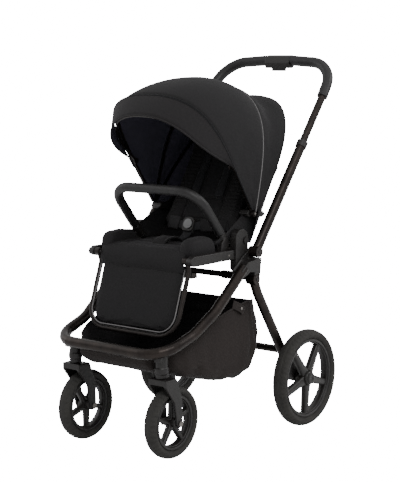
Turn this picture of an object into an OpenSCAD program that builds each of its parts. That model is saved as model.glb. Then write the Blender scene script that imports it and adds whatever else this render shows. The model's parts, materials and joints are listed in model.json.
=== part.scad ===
/* [Chassis] */
// Half the distance between the two side frames, tube centre to tube centre
frame_x = 214.5; // [208:0.5:250]
// Outside radius of the lower handle tubes and the rear legs
tube_r = 14.3; // [12:0.1:15]
// Outside radius of the front U tube
front_r = 15.5; // [12:0.5:17]
// How far ahead of the origin the front bar of the U tube lies
front_reach = 344; // [320:1:400]
// Height of the front bar above the floor
front_bar_z = 303; // [290:1:330]

/* [Wheels] */
// Radius of the rear wheels over the tyre
rear_r = 145.6; // [120:0.1:165]
// Width of the rear tyres
rear_w = 46; // [36:1:52]
// Radius of the front wheels over the tyre
front_wheel_r = 102; // [85:1:106]
// Width of the front tyres
front_wheel_w = 42; // [32:1:46]
// Half the distance between the two caster swivel axes
caster_x = 160; // [140:1:175]
// Trail of the casters, from swivel axis to axle
trail = 41; // [30:1:50]

/* [Handle] */
// Length of the lower handle tubes from the fold line to the height collar
lower_len = 364; // [320:1:420]
// Visible length of the telescopic upper tubes
upper_len = 185; // [160:1:230]
// Outside radius of the upper tubes
upper_r = 11.5; // [9:0.1:12]
// Radius of the padded grip
grip_r = 16.5; // [14:0.5:18]

/* [Seat] */
// Half the width of the seat and backrest cushions
pad_x = 138; // [110:1:142]
// Length of the backrest cushion
back_len = 350; // [300:1:400]
// Length of the legrest panel
legrest_len = 208; // [170:1:240]
// Reach of the bumper bar ahead of its sockets
bumper_reach = 162; // [140:1:200]

/* [Canopy] */
// Half the width of the rear canopy hoop
hoop_x = 190; // [182:1:191]
// Height of the front canopy hoop above the canopy pivot
hoop_s = 415; // [380:1:450]

/* [Hidden] */
$fn = 48;
clear = 0.05;
fold = [60, 545];
leg_pivot = [49, 466];
handle_tilt = 52;
leg_knee = [193, 235];
cross_q = [30, 474];
leg_foot = [238, 22 + rear_r];
rear_axle = [256, rear_r];
wheel_in = frame_x + 19.5;
swivel_y = 46 - front_reach;
front_axle = [swivel_y + trail, front_wheel_r];
fork_top = 2 * front_wheel_r + 28;
hub_out = frame_x - 19.3;
hub_in = frame_x - 42.5;
rail_in = hub_in;
socket_x = hub_in - 14;
recline = [24, 548];
back_tilt = 58;
back_o = [61, 603];
legrest_pivot = [-195, 542];
legrest_tilt = 71;
bumper_o = [-36, 603];
bumper_tilt = 130;
buckle_o = [19, 587];
buckle_tilt = 66;
canopy = [88, 649];
visor_s = 172;
th_rear = 50;
th_mid = 75;
th_front = 124.4;
th_rim = 142;
visor_pivot = canopy + visor_s * [cos(th_front), sin(th_front)];

// ---- helpers: places and directions in the side plane are [y, z] ----

function unit(v) = v / norm(v);
function dir(a) = [cos(a), sin(a)];
function across_dir(a) = [-sin(a), cos(a)];
function p3(x, q) = [x, q[0], q[1]];
function on(o, a, u, n) = o + u * dir(a) + n * across_dir(a);
function flip(p) = [for (i = [len(p) - 1:-1:0]) [-p[i][0], p[i][1], p[i][2]]];

// Points of the round corner at b between a and c.
function corner(a, b, c, r, n) =
  let (u = unit(a - b), v = unit(c - b), g = acos(u * v))
  let (m = b + unit(u + v) * (r / sin(g / 2)), p = b + u * r / tan(g / 2))
  let (e = unit(p - m), w = b + v * r / tan(g / 2) - m, f = unit(w - e * (w * e)))
  [for (i = [0:n]) m + r * (cos((180 - g) * i / n) * e + sin((180 - g) * i / n) * f)];

function bend(p, r, n = 6) =
  [p[0], for (i = [1:len(p) - 2]) each corner(p[i - 1], p[i], p[i + 1], r[i - 1], n), p[len(p) - 1]];

function round_section(r, n = 16) = [for (i = [0:n - 1]) r * [cos(360 * i / n), sin(360 * i / n)]];
function flat_section(a, b) = [[a, b], [-a, b], [-a, -b], [a, -b]] / 2;

// A section carried along a path; ref stays in the section's second direction.
module sweep(p, section, ref) {
  m = len(section);
  last = len(p) - 1;
  pts = [for (i = [0:last])
    let (t = unit(p[min(i + 1, last)] - p[max(i - 1, 0)]), a = unit(cross(ref, t)), b = cross(t, a))
    for (s = section) p[i] + s[0] * a + s[1] * b];
  sides = [for (i = [0:last - 1], j = [0:m - 1])
    let (k = (j + 1) % m)
    each [[i * m + j, (i + 1) * m + j, (i + 1) * m + k], [i * m + j, (i + 1) * m + k, i * m + k]]];
  polyhedron(pts, concat([[for (j = [0:m - 1]) j], [for (j = [m - 1:-1:0]) last * m + j]], sides));
}

// A closed skin between an outer and an inner grid of the same size.
module skin(outer, inner) {
  r = len(outer);
  c = len(outer[0]);
  pts = concat([for (row = outer) each row], [for (row = inner) each row]);
  o = r * c;
  ring = concat([for (j = [0:c - 1]) j], [for (i = [1:r - 1]) i * c + c - 1],
    [for (j = [c - 2:-1:0]) (r - 1) * c + j], [for (i = [r - 2:-1:1]) i * c]);
  n = len(ring);
  top = [for (i = [0:r - 2], j = [0:c - 2])
    let (a = i * c + j) each [[a, a + 1, a + c + 1], [a, a + c + 1, a + c]]];
  low = [for (f = top) [f[2] + o, f[1] + o, f[0] + o]];
  rim = [for (i = [0:n - 1])
    let (a = ring[i], b = ring[(i + 1) % n]) each [[a, a + o, b + o], [a, b + o, b]]];
  polyhedron(pts, concat(top, low, rim));
}

// A [y, z] outline given thickness across X.
module across(x0, x1) {
  translate([x0, 0, 0]) rotate([90, 0, 90]) linear_extrude(x1 - x0) children();
}

// A round bar along X.
module bar(q, r, x0, x1) {
  translate(p3(x0, q)) rotate([0, 90, 0]) cylinder(r = r, h = x1 - x0);
}

module disc_at(q, r) {
  translate(q) circle(r);
}

// A straight rod of cylinders along direction a of the side plane.
module rod(x, q, a, r, h) {
  translate(p3(x, q)) rotate([a - 90, 0, 0]) cylinder(r = r, h = h);
}

module left() {
  children();
}

module right() {
  mirror([1, 0, 0]) children();
}

module both() {
  left() children();
  right() children();
}

// A rounded rectangle with its own radii at the low end and the high end of its second axis.
function panel_outline(w, y0, y1, r0, r1, n = 6) = concat(
  [for (i = [0:n]) [w - r0, y0 + r0] + r0 * dir(-90 + 90 * i / n)],
  [for (i = [0:n]) [w - r1, y1 - r1] + r1 * dir(90 * i / n)],
  [for (i = [0:n]) [-w + r1, y1 - r1] + r1 * dir(90 + 90 * i / n)],
  [for (i = [0:n]) [-w + r0, y0 + r0] + r0 * dir(180 + 90 * i / n)]);

// A flat pad whose second axis runs along direction a from place q, n0 to n1 proud of it.
module pad(q, a, n0, n1, outline) {
  translate(p3(0, q)) rotate([a, 0, 0]) translate([0, 0, n0]) linear_extrude(n1 - n0) polygon(outline);
}

// ---- chassis ----

function front_path() =
  let (h = [p3(frame_x, [4, 505]), p3(frame_x, [-130, front_bar_z + 94]),
    p3(frame_x - 11, [-210, front_bar_z + 42]), p3(frame_x - 20, [-front_reach, front_bar_z])])
  let (all = concat(h, flip(h)))
  bend(all, [120, 120, 76, 76, 120, 120]);

module front_tube() {
  color("#2b2523") sweep(front_path(), round_section(front_r), unit([0, -0.45, 0.89]));
}

module junction() {
  color("#2b2523") union() {
    across(hub_out + 0.3, frame_x - tube_r - 0.4) union() {
      disc_at(fold, 16);
      disc_at(leg_pivot, 16);
      polygon([[44, 547], [33, 467], [-28, 462], [-28, 500], [20, 535]]);
      polygon([[44, 545], [76, 545], [65, 466], [33, 466]]);
    }
    across(hub_out + 2, frame_x + tube_r - 0.5) difference() {
      union() {
        polygon([[43.1, 527], [71.9, 527], [63.1, 464], [34.9, 468]]);
        polygon([[-23.5, 498.3], [8, 521], [48, 524], [44, 489], [16, 491], [-8.5, 479.7]]);
      }
      disc_at(fold, 16.4);
      disc_at(leg_pivot, 16.4);
    }
    bar(fold, 5, hub_out + 1, frame_x + tube_r + 1.5);
    bar(leg_pivot, 5, hub_out + 1, frame_x + tube_r + 1.5);
  }
}

module cross_tube() {
  color("#1d1b1a") union() {
    bar(cross_q, 9, 15 - frame_x, frame_x - 15);
    both() bar(cross_q, 12, 120, 150);
    across(-14, 14) polygon([cross_q + [-12, -4], cross_q + [12, -4], cross_q + [14, -24],
      cross_q + [-14, -24]]);
  }
}

module caster_post() {
  color("#1d1b1a") difference() {
    union() {
      translate([caster_x, swivel_y, fork_top + 0.6]) cylinder(r = 17, h = front_bar_z - fork_top - 2);
      translate([caster_x, swivel_y, front_bar_z - 22]) rotate([0, 0, -72])
        translate([-2, -10, 0]) cube([32, 20, 20]);
      translate([caster_x, swivel_y, fork_top + 14]) cylinder(r = 19.5, h = 16);
    }
    translate([caster_x, swivel_y, fork_top]) cylinder(r = 8 + clear, h = 32);
  }
}

module fork() {
  w = front_wheel_w / 2 + 3;
  ay = front_axle[0];
  az = front_axle[1];
  leg = [[swivel_y - 20, fork_top], [swivel_y + 26, fork_top], [ay + 8, az + 72], [ay + 11, az + 4],
    [ay + 7, az - 11], [ay - 7, az - 12], [ay - 13, az], [ay - 24, az + 62], [swivel_y - 20, fork_top - 20]];
  color("#1d1b1a") translate([caster_x, 0, 0]) union() {
    difference() {
      union() {
        across(w, w + 8) polygon(leg);
        across(-w - 8, -w) polygon(leg);
      }
      bar(front_axle, 5 + clear, -w - 9, w + 9);
    }
    across(-w - 4, w + 4) polygon([[swivel_y - 20, fork_top], [swivel_y + 26, fork_top],
      [swivel_y + 26, fork_top - 17], [swivel_y - 20, fork_top - 17]]);
    translate([0, swivel_y, fork_top - 4]) cylinder(r = 8, h = 32);
  }
}

module front_axle_pin() {
  w = front_wheel_w / 2 + 11;
  color("#8a8682") translate([caster_x, 0, 0]) union() {
    bar(front_axle, 5, -w - 1, w + 1);
    bar(front_axle, 8, w + 0.4, w + 3);
    bar(front_axle, 8, -w - 3, -w - 0.4);
  }
}

// ---- wheels, drawn about the X axis at their own axle ----

module tyre(r, w, inner) {
  h = w / 2;
  rotate([0, 90, 0]) rotate_extrude($fn = 96) polygon([[inner, -h * 0.6], [r - 17, -h * 0.88],
    [r - 11, -h], [r - 5, -h * 0.86], [r - 1.2, -h * 0.5], [r, 0], [r - 1.2, h * 0.5],
    [r - 5, h * 0.86], [r - 11, h], [r - 17, h * 0.88], [inner, h * 0.6]]);
}

// The window between two spokes, from radius r0 to r1, with half a spoke's width left on each side.
function window(r0, r1, half) =
  let (a = asin(half / r0), b = asin(half / r1))
  concat([for (i = [0:3]) r0 * dir(a + (72 - 2 * a) * i / 3)],
    [for (i = [0:8]) r1 * dir(72 - b - (72 - 2 * b) * i / 8)]);

module rim(outer, w, hub_r, hub_w, spoke, bore, turn) {
  rotate([turn, 0, 0]) rotate([0, 90, 0]) difference() {
    union() {
      cylinder(r = outer, h = w, center = true);
      cylinder(r = hub_r, h = hub_w, center = true);
    }
    for (k = [0:4]) rotate([0, 0, 72 * k]) translate([0, 0, -w]) linear_extrude(2 * w)
      polygon(window(hub_r + 3, outer - 9, spoke / 2));
    cylinder(r = bore, h = hub_w + 4, center = true);
  }
}

module front_tyre() {
  color("#1a1918") translate(p3(caster_x, front_axle))
    tyre(front_wheel_r, front_wheel_w, front_wheel_r - 24);
}

module front_rim(turn) {
  color("#1d1b1a") translate(p3(caster_x, front_axle))
    rim(front_wheel_r - 24 - clear, 30, 14, front_wheel_w + 2, 17, 5 + clear, turn);
}

module rear_tyre() {
  color("#1a1918") translate(p3(wheel_in + rear_w / 2, rear_axle)) tyre(rear_r, rear_w, rear_r - 27);
}

module rear_rim() {
  color("#1d1b1a") translate(p3(wheel_in + rear_w / 2, rear_axle))
    rim(rear_r - 27 - clear, 32, 21, rear_w - 2, 24, 6 + clear, 0);
}

module hub_cap() {
  color("#242120") difference() {
    bar(rear_axle, 17, wheel_in + rear_w - 1, wheel_in + rear_w + 4);
    bar(rear_axle, 7, wheel_in + rear_w - 2, wheel_in + rear_w + 1.5);
  }
}

// ---- rear frame ----

module rear_leg() {
  color("#2b2523") difference() {
    union() {
      sweep(bend([p3(frame_x, leg_pivot), p3(frame_x, [68, 424]), p3(frame_x, leg_knee),
        p3(frame_x, leg_foot)], [120, 160]), round_section(tube_r), [1, 0, 0]);
      bar(leg_pivot, 16, frame_x - tube_r + 0.5, frame_x + tube_r - 0.5);
    }
    bar(leg_pivot, 5 + clear, frame_x - 20, frame_x + 20);
  }
}

module rear_cross_tube() {
  color("#2b2523") bar(leg_knee, 11, 8 - frame_x, frame_x - 8);
}

module hub_housing() {
  color("#1d1b1a") union() {
    across(frame_x - 9, wheel_in - 2) polygon([[218, rear_r + 42], [240, rear_r + 62], [262, rear_r + 42],
      [277, rear_r + 10], [274, rear_r - 10], [258, rear_r - 18], [240, rear_r - 12], [226, rear_r + 6]]);
    bar(rear_axle, 6, frame_x, wheel_in + rear_w + 1);
  }
}

module brake_pedal() {
  color("#1d1b1a") difference() {
    union() {
      bar(leg_knee, 16, -34, 34);
      across(-30, 30) polygon([leg_knee + [6, 12], leg_knee + [46, 8], leg_knee + [56, -2],
        leg_knee + [46, -6], leg_knee + [6, -4]]);
    }
    bar(leg_knee, 11 + clear, -35, 35);
  }
}

// ---- handle ----

module handle_tube() {
  color("#2b2523") difference() {
    union() {
      rod(frame_x, fold, handle_tilt, tube_r, lower_len);
      bar(fold, 16, frame_x - tube_r + 0.5, frame_x + tube_r - 0.5);
    }
    rod(frame_x, on(fold, handle_tilt, 40, 0), handle_tilt, upper_r + 0.08, lower_len);
    bar(fold, 5 + clear, frame_x - 20, frame_x + 20);
  }
}

module collar() {
  color("#1d1b1a") difference() {
    rod(frame_x, on(fold, handle_tilt, lower_len, 0), handle_tilt, tube_r + 2.2, 20);
    rod(frame_x, on(fold, handle_tilt, lower_len - 1, 0), handle_tilt, upper_r + 0.08, 24);
  }
}

module upper_tube() {
  color("#2b2523")
    rod(frame_x, on(fold, handle_tilt, lower_len - 130, 0), handle_tilt, upper_r, upper_len + 142);
}

function grip_at(x, l) = p3(x, on(fold, handle_tilt, l, 0));
grip_l = lower_len + upper_len;

module grip() {
  half = [grip_at(frame_x, grip_l), grip_at(frame_x - 4, grip_l + 76), grip_at(frame_x - 54, grip_l + 129)];
  path = bend(concat(half, [grip_at(0, grip_l + 142)], flip(half)), [90, 90, 700, 90, 90], 6);
  color("#191818") sweep(path, round_section(grip_r, 18), p3(0, across_dir(handle_tilt)));
}

module grip_housing() {
  q = on(fold, handle_tilt, grip_l + 138, 0);
  color("#1d1b1a") difference() {
    across(-46, 46) polygon([q + [-20, -8], q + [-14, 13], q + [5, 18], q + [18, 9],
      q + [19, -8], q + [6, -24], q + [-14, -24]]);
    across(-25, 25) polygon([q + [-12, -25], q + [3, -25], q + [3, -17.5], q + [-12, -17.5]]);
  }
}

module fold_trigger() {
  q = on(fold, handle_tilt, grip_l + 138, 0);
  color("#242120") across(-24, 24) polygon([q + [-11, -23], q + [2, -23], q + [0, -33], q + [-9, -33]]);
}

// ---- seat ----

module seat_hub() {
  color("#1d1b1a") difference() {
    union() {
      across(hub_in, hub_out) union() {
        polygon([[-8, 500], [2, 491], [40, 491], [50, 502], [50, 586], [44, 602], [30, 611], [10, 611],
          [-3, 602], [-8, 588]]);
      }
      bar(recline, 6, hub_in - 30, hub_in + 4);
    }
    bar([35, 578], 9 + clear, hub_out - 12, hub_out + 1);
  }
}

module hub_button() {
  color("#3a3736") bar([35, 578], 9, hub_out - 8, hub_out + 3.2);
}

module seat_frame() {
  color("#1d1b1a") union() {
    both() across(rail_in, hub_out - 5) polygon([[-8, 527], [-8, 555], [-190, 556], [-204, 550],
      [-209, 542], [-204, 533], [-190, 527]]);
    both() bar(legrest_pivot, 5, rail_in - 22, rail_in + 4);
    translate([-rail_in - 3, -178, 528]) cube([2 * rail_in + 6, 160, 5]);
    translate([-pad_x, -20, 528]) cube([2 * pad_x, 30, 5]);
  }
}

module seat_pad() {
  color("#242324") union() {
    pad([0, 534], 0, 0, 30, panel_outline(pad_x, -186, 48, 30, 20));
    both() across(pad_x - 6, rail_in - 7) polygon([[-181, 534], [-182, 574], [-166, 594], [-120, 600],
      [-78, 597], [-62, 580], [-58, 534]]);
  }
}

module back_frame() {
  x = hub_in - 22;
  half = [p3(x, recline), p3(x, on(back_o, back_tilt, -18, -50)),
    p3(x, on(back_o, back_tilt, back_len - 10, -50))];
  color("#1d1b1a") difference() {
    union() {
      sweep(bend(concat(half, flip(half)), [26, 60, 60, 26]), round_section(8, 14),
        unit([0, -1, 0.55]));
      both() bar(recline, 12, x - 9, hub_in - 2);
    }
    both() bar(recline, 6 + clear, x - 10, hub_in);
  }
}

module back_pad() {
  color("#242324") pad(back_o, back_tilt, -38, 0, panel_outline(pad_x, -6, back_len, 24, 60));
}

module shoulder_harness() {
  color("#1f1f20") both() translate([45, 0, 0]) union() {
    pad(back_o, back_tilt, 0.4, 11, panel_outline(17, 96, 262, 8, 8));
    pad(back_o, back_tilt, 0.8, 3.4, panel_outline(12, 10, back_len - 22, 2, 2));
  }
}

module lap_straps() {
  color("#18181a") union() {
    across(-13, 13) polygon([[2, 564.3], [7, 564.3], [22.5, 586], [20, 587]]);
    both() translate([21, 33, 603]) rotate([0, -4, 12]) cube([100, 2.6, 24], center = false);
  }
}

module buckle() {
  color("#161616") difference() {
    pad(buckle_o, buckle_tilt, -4, 12, panel_outline(20, 2, 44, 9, 13));
    buckle_disc(15 + 3 * clear, 6, 14);
  }
}

module buckle_disc(r, n0, n1) {
  translate(p3(0, on(buckle_o, buckle_tilt, 23, 0))) rotate([buckle_tilt, 0, 0])
    translate([0, 0, n0]) cylinder(r = r, h = n1 - n0);
}

module buckle_button() {
  color("#777777") buckle_disc(15, 9.5, 15);
}

module bumper_sockets() {
  q = on(bumper_o, bumper_tilt, -42, 0);
  color("#1d1b1a") both() difference() {
    union() {
      rod(socket_x, q, bumper_tilt, 13, 40);
      across(socket_x - 4, rail_in) polygon([[-50, 534], [-12, 534], [-12, 585], [-28, 590], [-44, 575]]);
    }
    rod(socket_x, on(bumper_o, bumper_tilt, -36, 0), bumper_tilt, 9.08, 50);
  }
}

module bumper_bar() {
  x = socket_x;
  half = [p3(x, bumper_o), p3(x, on(bumper_o, bumper_tilt, bumper_reach, 0))];
  color("#1a1919") union() {
    sweep(bend(concat(half, flip(half)), [66, 66], 8), round_section(14.3), p3(0, across_dir(bumper_tilt)));
    both() rod(x, on(bumper_o, bumper_tilt, -32, 0), bumper_tilt, 9, 42);
  }
}

module legrest_frame() {
  x = rail_in - 10;
  a = 180 + legrest_tilt;
  half = [p3(x, legrest_pivot), p3(x, on(legrest_pivot, a, 20, 22)),
    p3(x, on(legrest_pivot, a, legrest_len + 6, 22))];
  color("#242120") difference() {
    union() {
      sweep(bend(concat(half, flip(half)), [24, 62, 62, 24]), round_section(7, 14),
        unit([0, -1, 0.34]));
      both() bar(legrest_pivot, 10, x - 8, rail_in - 1);
    }
    both() bar(legrest_pivot, 5 + clear, x - 12, rail_in);
  }
}

module legrest_pad() {
  color("#242324") pad(legrest_pivot, legrest_tilt, -34, -14,
    panel_outline(rail_in - 24, 5 - legrest_len, -12, 50, 12));
}

// ---- canopy: a hoop is a rounded arch in a plane through the pivot, given as
// [plane angle, half-width at the foot, height, exponent, flare at the shoulders] ----

function arch(h, k, a0) =
  let (a = a0 + (180 - 2 * a0) * k, c = cos(a), w = h[1] + h[4] * pow(sin(a), 2))
  [w * sign(c) * pow(abs(c), 2 / h[3]), h[2] * pow(abs(sin(a)), 2 / h[3])];
function canopy_at(o, th, q) = p3(q[0], o + q[1] * dir(th));
function arch_row(o, h, a0, cols = 26) = [for (j = [0:cols]) canopy_at(o, h[0], arch(h, j / cols, a0))];

// The same arch grown by off, and turned by turn about its pivot.
function grown(h, off, turn = 0) = h + [turn, off, off, 0, 0];

bow_rear = [th_rear, hoop_x, hoop_s + 6, 2.3, 10];
bow_mid = [th_mid, hoop_x - 4, hoop_s - 44, 1.9, 90];
bow_front = [th_front, hoop_x - 8, hoop_s, 2.36, 104];
bow_rim = [th_rim, hoop_x - 14, hoop_s - visor_s - 7, 2.1, 24];

module hoop(o, h, pin) {
  w = h[1];
  path = concat([canopy_at(o, h[0], [w, 4])], arch_row(o, h, 2, 36), [canopy_at(o, h[0], [-w, 4])]);
  difference() {
    union() {
      sweep(path, flat_section(3, 8), p3(0, across_dir(h[0])));
      both() bar(o, 9, w - 1.7, w + 1.7);
    }
    both() bar(o, pin + clear, w - 5, w + 5);
  }
}

module canopy_mounts() {
  color("#1d1b1a") both() union() {
    across(hub_in - 24, hoop_x - 12) polygon([[74, 642], [68, 650], [76, 660], [100, 661], [148, 651],
      [158, 640], [140, 634]]);
    bar(canopy, 5, hoop_x - 14, hoop_x + 2.4);
  }
}

module hoop_rear() {
  color("#1d1b1a") hoop(canopy, bow_rear, 5);
}

module hoop_mid() {
  color("#1d1b1a") hoop(canopy, bow_mid, 5);
}

module hoop_front() {
  color("#1d1b1a") union() {
    hoop(canopy, bow_front, 5);
    both() bar(visor_pivot, 4, hoop_x - 17, hoop_x - 5.5);
  }
}

module visor_rim() {
  color("#1d1b1a") hoop(visor_pivot, bow_rim, 4);
}

// Rows of points of a fabric panel between two bows, off millimetres outside them, dipping by sag.
function cloth(a, b, off, sag, rows = 8) =
  [for (i = [0:rows]) let (f = i / rows)
    arch_row(canopy, grown(a * (1 - f) + b * f, off) - [0, 0, sag * pow(sin(180 * f), 2), 0, 0], 4)];

function visor_rows(off, rows = 4) =
  let (a = arch_row(canopy, grown(bow_front, off + 5, 1.8), 21),
    b = arch_row(visor_pivot, grown(bow_rim, off + 2, 1), 5))
  [for (i = [0:rows]) [for (j = [0:len(a) - 1]) a[j] * (1 - i / rows) + b[j] * i / rows]];

module canopy_rear() {
  a = bow_rear + [-1, 1, 6, 0, 0];
  b = bow_mid - [0.3, 0, 0, 0, 0];
  color("#242324") skin(cloth(a, b, 7.4, 32), cloth(a, b, 5, 32));
}

module canopy_crown() {
  a = bow_mid + [0.3, 0, 0, 0, 0];
  b = bow_front + [1, 0, 0, 0, 0];
  color("#242324") skin(cloth(a, b, 7.4, 2), cloth(a, b, 5, 2));
}

module visor() {
  color("#2b2a2b") skin(visor_rows(5), visor_rows(2.6));
}

// ---- basket ----

function basket_side(t) = [[-322 + t, 288], [-300 + t, 262 + t], [-262, 240 + t], [-205, 222 + t],
  [-137, 205 + t], [-72, 186 + t], [9, 178 + t], [66 - t / 2, 186 + t], [100 - t, 214 + t / 2], [118 - t, 244],
  [121 - t, 288], [84 - t, 376], [46, 405], [-40, 388], [-130, 350], [-205, 305], [-262, 292]];
function basket_plan(t) = [[-324 + t, 118 - t], [-300, 134 - t], [-274, 138 - t], [-246, frame_x - 43 - t],
  [-150, frame_x - 17 - t], [90, frame_x - 17 - t], [122 - t, frame_x - 40 - t]];

module basket_block(t, lift) {
  half = basket_plan(t);
  intersection() {
    across(-frame_x, frame_x) polygon([for (q = basket_side(t)) q[1] > 280 ? q + [0, lift] : q]);
    translate([0, 0, 100]) linear_extrude(400) polygon(concat([for (q = half) [q[1], q[0]]],
      [for (i = [len(half) - 1:-1:0]) [-half[i][1], half[i][0]]]));
  }
}

module basket() {
  color("#2e2826") difference() {
    basket_block(0, 0);
    basket_block(3, 3);
  }
}

front_tube();
left() junction();  // junction_left
right() junction();  // junction_right
cross_tube();
left() caster_post();  // caster_post_left
right() caster_post();  // caster_post_right
left() fork();  // fork_left
right() fork();  // fork_right
left() front_axle_pin();  // front_axle_left
right() front_axle_pin();  // front_axle_right
left() front_tyre();  // front_tyre_left
right() front_tyre();  // front_tyre_right
left() front_rim(180);  // front_rim_left
right() front_rim(0);  // front_rim_right
left() rear_leg();  // rear_leg_left
right() rear_leg();  // rear_leg_right
rear_cross_tube();
left() hub_housing();  // hub_housing_left
right() hub_housing();  // hub_housing_right
brake_pedal();
left() rear_tyre();  // rear_tyre_left
right() rear_tyre();  // rear_tyre_right
left() rear_rim();  // rear_rim_left
right() rear_rim();  // rear_rim_right
left() hub_cap();  // hub_cap_left
right() hub_cap();  // hub_cap_right
left() handle_tube();  // handle_tube_left
right() handle_tube();  // handle_tube_right
left() collar();  // collar_left
right() collar();  // collar_right
left() upper_tube();  // upper_tube_left
right() upper_tube();  // upper_tube_right
grip();
grip_housing();
fold_trigger();
left() seat_hub();  // seat_hub_left
right() seat_hub();  // seat_hub_right
left() hub_button();  // hub_button_left
right() hub_button();  // hub_button_right
seat_frame();
seat_pad();
back_frame();
back_pad();
shoulder_harness();
lap_straps();
buckle();
buckle_button();
bumper_sockets();
bumper_bar();
legrest_frame();
legrest_pad();
canopy_mounts();
hoop_rear();
hoop_mid();
hoop_front();
visor_rim();
canopy_rear();
canopy_crown();
visor();
basket();
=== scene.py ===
import json
import math

import bmesh
import bpy
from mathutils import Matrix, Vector, noise


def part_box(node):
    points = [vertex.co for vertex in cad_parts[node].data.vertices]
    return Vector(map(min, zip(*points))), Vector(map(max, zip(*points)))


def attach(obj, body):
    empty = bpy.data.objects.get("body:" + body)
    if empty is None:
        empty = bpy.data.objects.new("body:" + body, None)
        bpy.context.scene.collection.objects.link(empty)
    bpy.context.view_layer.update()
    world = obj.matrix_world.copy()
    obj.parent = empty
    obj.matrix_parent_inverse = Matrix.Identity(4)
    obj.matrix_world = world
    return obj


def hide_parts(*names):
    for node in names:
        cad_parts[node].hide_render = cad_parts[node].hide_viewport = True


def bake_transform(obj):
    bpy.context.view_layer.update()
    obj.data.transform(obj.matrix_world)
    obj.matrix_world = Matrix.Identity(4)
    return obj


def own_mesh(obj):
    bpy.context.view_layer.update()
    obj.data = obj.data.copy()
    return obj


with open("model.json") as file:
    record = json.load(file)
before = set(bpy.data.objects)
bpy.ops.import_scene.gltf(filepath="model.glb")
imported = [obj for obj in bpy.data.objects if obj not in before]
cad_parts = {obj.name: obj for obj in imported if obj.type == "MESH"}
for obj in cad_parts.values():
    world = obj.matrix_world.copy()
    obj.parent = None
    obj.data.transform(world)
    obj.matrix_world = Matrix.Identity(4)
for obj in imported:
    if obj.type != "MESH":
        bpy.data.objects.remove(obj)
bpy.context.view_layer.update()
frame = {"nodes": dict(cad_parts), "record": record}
BODY_OF = {n: b for b, names in frame["record"]["behaviour"]["bodies"].items() for n in names}
SLOT_OF = {s["node"]: s["material_slot"] for s in frame["record"]["subparts"]}
JOINT = {j["name"]: j for j in frame["record"]["behaviour"]["joints"]}
SIDES = (("left", 1), ("right", -1))
MM = 0.001


# ---------------------------------------------------------------- materials

def linear(hex_colour):
    """A colour written as sRGB hex, in the shader's linear values."""
    parts = [int(hex_colour[i:i + 2], 16) / 255 for i in (1, 3, 5)]
    return [p / 12.92 if p <= 0.04045 else ((p + 0.055) / 1.055) ** 2.4 for p in parts] + [1]


def add(tree, kind, inputs=None, **settings):
    """One shader node with its settings; an input is a value or another node's output."""
    node = tree.nodes.new(kind)
    for key, value in settings.items():
        setattr(node, key, value)
    for key, value in (inputs or {}).items():
        if isinstance(value, bpy.types.NodeSocket):
            tree.links.new(value, node.inputs[key])
        else:
            node.inputs[key].default_value = value
    return node


def new_material(name):
    mat = bpy.data.materials.new(name)
    mat.use_nodes = True
    mat.node_tree.nodes.clear()
    return mat, mat.node_tree


def finish_shader(tree, shader):
    out = add(tree, "ShaderNodeOutputMaterial")
    tree.links.new(shader.outputs["BSDF"], out.inputs["Surface"])


def varied(tree, coord, size_mm, dark, light, detail=4):
    """A colour that drifts between two tones over about size_mm."""
    drift = add(tree, "ShaderNodeTexNoise",
                {"Vector": coord, "Scale": 1 / (size_mm * MM), "Detail": detail, "Roughness": 0.6})
    ramp = add(tree, "ShaderNodeValToRGB", {"Fac": drift.outputs["Fac"]})
    ramp.color_ramp.elements[0].position = 0.3
    ramp.color_ramp.elements[0].color = linear(dark)
    ramp.color_ramp.elements[1].position = 0.7
    ramp.color_ramp.elements[1].color = linear(light)
    return ramp.outputs["Color"], drift.outputs["Fac"]


def cloth_material(name, dark, light, thread_mm=0.9, sheen=0.05, crease=0.25, specular=0.2):
    """Woven cloth: crossed threads, a melange of two tones and soft creases that catch the light."""
    mat, tree = new_material(name)
    coord = add(tree, "ShaderNodeTexCoord").outputs["Object"]
    colour, _ = varied(tree, coord, 2.2, dark, light)
    wave_scale = 1 / (thread_mm * MM) / 3
    warp = add(tree, "ShaderNodeTexWave", {"Vector": coord, "Scale": wave_scale, "Distortion": 0.6},
               bands_direction="X")
    weft = add(tree, "ShaderNodeTexWave", {"Vector": coord, "Scale": wave_scale, "Distortion": 0.6},
               bands_direction="Z")
    weave = add(tree, "ShaderNodeMath", {0: warp.outputs["Fac"], 1: weft.outputs["Fac"]},
                operation="MAXIMUM")
    folds = add(tree, "ShaderNodeTexNoise", {"Vector": coord, "Scale": 22, "Detail": 5, "Distortion": 0.7})
    threads = add(tree, "ShaderNodeBump",
                  {"Height": weave.outputs[0], "Strength": 0.22, "Distance": 0.0003})
    soft = add(tree, "ShaderNodeBump", {"Height": folds.outputs["Fac"], "Strength": crease,
                                        "Distance": 0.004, "Normal": threads.outputs["Normal"]})
    shader = add(tree, "ShaderNodeBsdfPrincipled",
                 {"Base Color": colour, "Roughness": 0.82, "IOR": 1.46, "Specular IOR Level": specular,
                  "Sheen Weight": sheen, "Sheen Roughness": 0.4, "Sheen Tint": linear("#c9c6cc"),
                  "Normal": soft.outputs["Normal"]})
    finish_shader(tree, shader)
    return mat


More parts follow.
